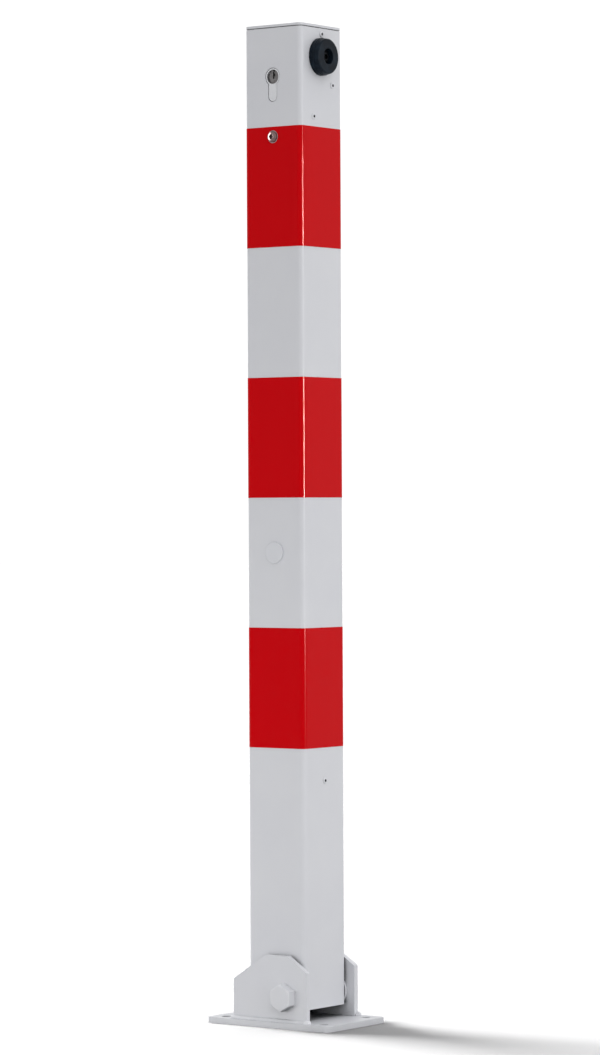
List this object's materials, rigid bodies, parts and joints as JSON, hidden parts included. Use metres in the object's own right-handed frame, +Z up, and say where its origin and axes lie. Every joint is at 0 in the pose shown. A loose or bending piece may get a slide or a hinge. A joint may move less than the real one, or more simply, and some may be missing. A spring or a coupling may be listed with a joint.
{
  "type": "fold-down bollard",
  "caption": "Square steel parking post with red and white bands that folds down between two ears on a bolted base plate and is held upright by a key-operated locking rod.",
  "frame": {"origin": "centre of the base plate's underside, which is the centre of the rectangle of its four anchor holes", "axes": "+Z up along the raised post, +X the way the post folds down, Y along the pivot bolt with the key cylinder facing -Y"},
  "size_m": [0.15, 0.118, 1],
  "materials": {
    "powder_coat": "satin white powder coat",
    "red_film": "glossy red reflective film",
    "buffer_rubber": "moulded black rubber",
    "black_steel": "black oxide steel",
    "zinc": "bright zinc plated steel",
    "nickel": "nickel plated brass",
    "white_cap": "white moulded plastic"
  },
  "bodies": {
    "base": {"base_plate": "powder_coat", "ear_key_side": "powder_coat", "ear_far_side": "powder_coat", "keeper_block": "powder_coat", "pivot_bolt": "powder_coat", "nut_washer": "zinc", "pivot_nut": "zinc", "spacer_key_side": "powder_coat", "spacer_far_side": "powder_coat"},
    "post": {"post_tube": "powder_coat", "pivot_sleeve": "zinc", "foot_guide": "zinc", "top_cap": "powder_coat", "cap_rivet": "powder_coat", "band_top": "red_film", "band_middle": "red_film", "band_bottom": "red_film", "rubber_buffer": "buffer_rubber", "buffer_washer": "black_steel", "buffer_screw": "black_steel", "buffer_nut": "zinc", "lock_carrier": "zinc", "carrier_rivets": "powder_coat", "carrier_screw": "zinc", "carrier_nut": "zinc", "lock_housing": "nickel", "cylinder_screw": "zinc", "rod_guide": "zinc", "guide_rivet": "powder_coat", "access_plug": "white_cap"},
    "key_plug": {"lock_plug": "nickel", "lock_cam": "nickel"},
    "rod": {"slide_bar": "zinc", "fork_pin": "zinc", "lock_rod": "zinc"}
  },
  "joints": [
    {"name": "post_fold", "type": "hinge", "parent": "base", "child": "post", "pos_m": [0.019, 0, 0.031], "axis": [0, 1, 0], "range_deg": [0, 90]},
    {"name": "rod_slide", "type": "slide", "parent": "post", "child": "rod", "axis": [0, 0, 1], "range_m": [-0.01668, 0]},
    {"name": "plug_turn", "type": "hinge", "parent": "post", "child": "key_plug", "pos_m": [0.002, 0, 0.948], "axis": [0, 1, 0], "range_deg": [-90, 0]}
  ],
  "couplings": [
    {"joint": "plug_turn", "follows": "rod_slide", "rad_per_m": 94}
  ]
}
